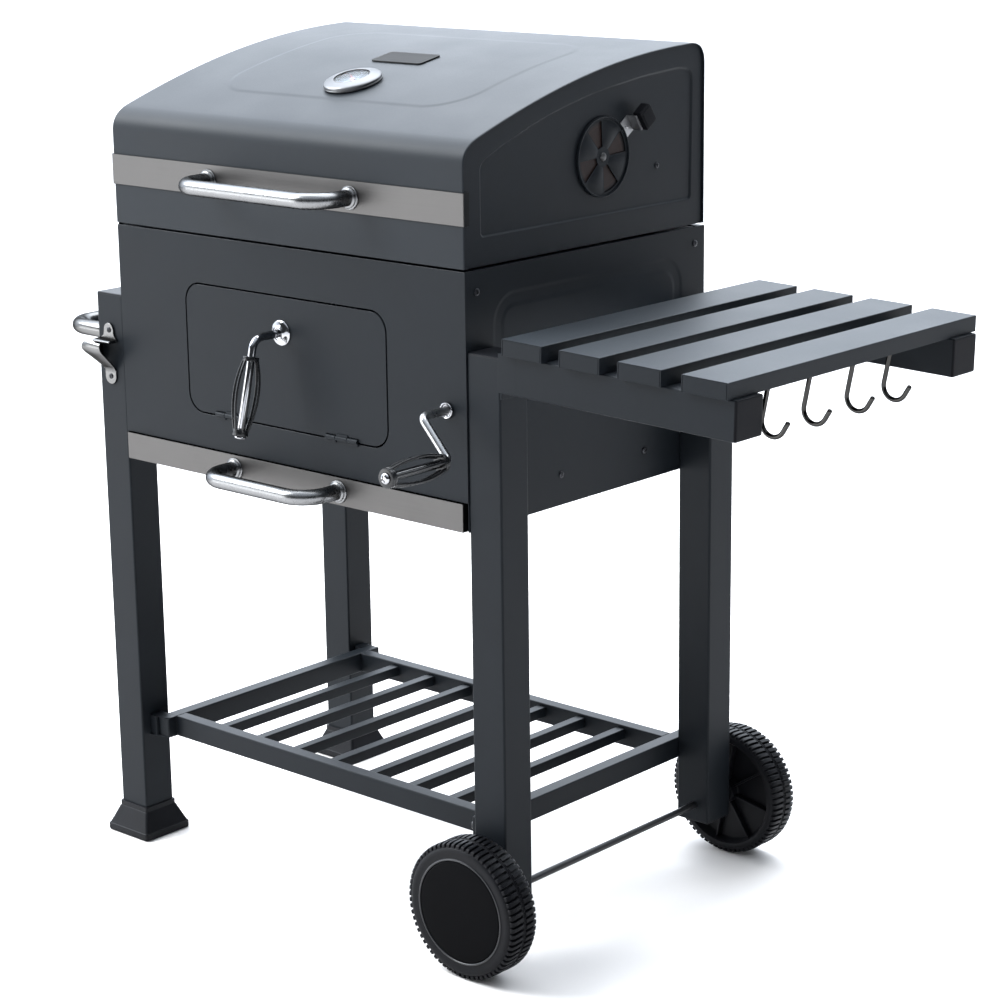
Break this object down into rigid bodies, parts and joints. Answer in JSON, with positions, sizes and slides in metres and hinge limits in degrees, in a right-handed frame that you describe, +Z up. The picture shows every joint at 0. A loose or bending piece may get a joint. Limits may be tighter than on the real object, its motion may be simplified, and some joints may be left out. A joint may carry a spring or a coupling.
{
  "type": "charcoal grill cart",
  "caption": "Charcoal barbecue on a wheeled leg cart: hinged lid with thermometer and vent, fuel door, crank-raised coal tray, ash drawer, bottom shelf and folding side table.",
  "frame": {"origin": "middle of the whole object's footprint, at floor level", "axes": "+X to the side table, -Y to the front with the handles, +Z up"},
  "size_m": [1.147, 0.658, 1.0694],
  "materials": {
    "powder_coat": "fine-textured anthracite powder coat",
    "stainless": "brushed lengthwise",
    "chrome": "polished chrome plate",
    "black_plastic": "fine matt moulding",
    "wheel_plastic": "matt moulded tread",
    "zinc_steel": "dull zinc plate",
    "enamelled_iron": "black enamel",
    "enamelled_steel": "black heat-proof enamel",
    "dial_face": "pale satin dial with plain marks",
    "needle_paint": "red paint",
    "clear_glass": "clear flat glass"
  },
  "bodies": {
    "cart": {"legs_left": "powder_coat", "legs_right": "powder_coat", "leg_caps": "black_plastic", "feet": "black_plastic", "shelf_frame": "powder_coat", "shelf_bars": "powder_coat", "frame_bolts": "zinc_steel", "axle": "powder_coat", "front_panel": "powder_coat", "rear_panel": "powder_coat", "side_panels": "powder_coat", "body_screws": "zinc_steel", "drawer_runners": "powder_coat", "grate_ledges": "powder_coat", "cooking_grates": "enamelled_iron", "tray_guides": "powder_coat", "crank_bushes": "zinc_steel", "side_handle": "chrome", "bottle_opener": "chrome", "lid_hinge_plates": "powder_coat", "door_hinge_pins": "zinc_steel", "table_brackets": "powder_coat"},
    "lid": {"lid_shell": "powder_coat", "lid_ends": "powder_coat", "lid_band": "stainless", "lid_handle": "chrome", "lid_hinge_straps": "powder_coat", "lid_screws": "zinc_steel", "thermometer_case": "chrome", "thermometer_dial": "dial_face", "thermometer_glass": "clear_glass", "blank_plate": "stainless"},
    "needle": {"thermometer_needle": "needle_paint"},
    "vent_damper": {"damper_disc": "powder_coat", "damper_grip": "black_plastic"},
    "door": {"door_panel": "powder_coat", "door_rosette": "chrome"},
    "door_handle": {"door_handle_rod": "chrome", "door_handle_cage": "black_plastic", "door_latch": "zinc_steel"},
    "crank": {"crank_rod": "chrome", "lift_pinions": "zinc_steel"},
    "crank_grip": {"crank_grip": "black_plastic"},
    "charcoal_tray": {"charcoal_tray": "enamelled_steel", "fire_grate": "enamelled_iron", "lift_racks": "zinc_steel"},
    "ash_drawer": {"ash_pan": "enamelled_steel", "drawer_front": "stainless", "drawer_handle": "chrome"},
    "front_wheel": {"front_wheel": "wheel_plastic"},
    "rear_wheel": {"rear_wheel": "wheel_plastic"},
    "side_table": {"table_rails": "powder_coat", "rail_end_caps": "black_plastic", "table_slats": "powder_coat", "table_pivot_bolts": "zinc_steel", "hook_rod": "chrome"},
    "hook_1": {"hook_1": "chrome"},
    "hook_2": {"hook_2": "chrome"},
    "hook_3": {"hook_3": "chrome"},
    "hook_4": {"hook_4": "chrome"}
  },
  "joints": [
    {"name": "lid_hinge", "type": "hinge", "parent": "cart", "child": "lid", "pos_m": [-0.13302, 0.278, 0.843], "axis": [-1, 0, 0], "range_deg": [0, 95]},
    {"name": "needle_turn", "type": "hinge", "parent": "lid", "child": "needle", "pos_m": [-0.13302, -0.04532, 1.03102], "axis": [0, 0.2646, -0.9644], "range_deg": [0, 250]},
    {"name": "vent_turn", "type": "hinge", "parent": "lid", "child": "vent_damper", "pos_m": [0.16698, 0.0745, 0.9465], "axis": [1, 0, 0], "range_deg": [0, 45]},
    {"name": "door_hinge", "type": "hinge", "parent": "cart", "child": "door", "pos_m": [-0.13302, -0.178, 0.6168], "axis": [1, 0, 0], "range_deg": [0, 45]},
    {"name": "door_handle_turn", "type": "hinge", "parent": "door", "child": "door_handle", "pos_m": [-0.13602, -0.193, 0.735], "axis": [0, -1, 0], "range_deg": [0, 90]},
    {"name": "tray_lift", "type": "slide", "parent": "cart", "child": "charcoal_tray", "axis": [0, 0, 1], "range_m": [0, 0.07]},
    {"name": "crank_turn", "type": "hinge", "parent": "cart", "child": "crank", "pos_m": [0.13898, -0.183, 0.677], "axis": [0, -1, 0], "range_deg": [0, 268]},
    {"name": "crank_grip_spin", "type": "hinge", "parent": "crank", "child": "crank_grip", "pos_m": [0.18098, -0.273, 0.631], "axis": [0, -1, 0], "continuous": true},
    {"name": "ash_drawer_slide", "type": "slide", "parent": "cart", "child": "ash_drawer", "axis": [0, -1, 0], "range_m": [0, 0.3]},
    {"name": "front_wheel_roll", "type": "hinge", "parent": "cart", "child": "front_wheel", "pos_m": [0.19698, -0.211, 0.085], "axis": [0, 1, 0], "continuous": true},
    {"name": "rear_wheel_roll", "type": "hinge", "parent": "cart", "child": "rear_wheel", "pos_m": [0.19698, 0.305, 0.085], "axis": [0, 1, 0], "continuous": true},
    {"name": "side_table_fold", "type": "hinge", "parent": "cart", "child": "side_table", "pos_m": [0.23298, 0.047, 0.721], "axis": [0, 1, 0], "range_deg": [0, 88]},
    {"name": "hook_1_swing", "type": "hinge", "parent": "side_table", "child": "hook_1", "pos_m": [0.54556, -0.107, 0.7565], "axis": [0, 1, 0], "range_deg": [-20, 60]},
    {"name": "hook_2_swing", "type": "hinge", "parent": "side_table", "child": "hook_2", "pos_m": [0.54556, -0.029, 0.7565], "axis": [0, 1, 0], "range_deg": [-20, 60]},
    {"name": "hook_3_swing", "type": "hinge", "parent": "side_table", "child": "hook_3", "pos_m": [0.54556, 0.054, 0.7565], "axis": [0, 1, 0], "range_deg": [-20, 60]},
    {"name": "hook_4_swing", "type": "hinge", "parent": "side_table", "child": "hook_4", "pos_m": [0.54556, 0.128, 0.7565], "axis": [0, 1, 0], "range_deg": [-20, 60]}
  ],
  "couplings": [
    {"joint": "crank_turn", "follows": "tray_lift", "rad_per_m": 66.667}
  ]
}
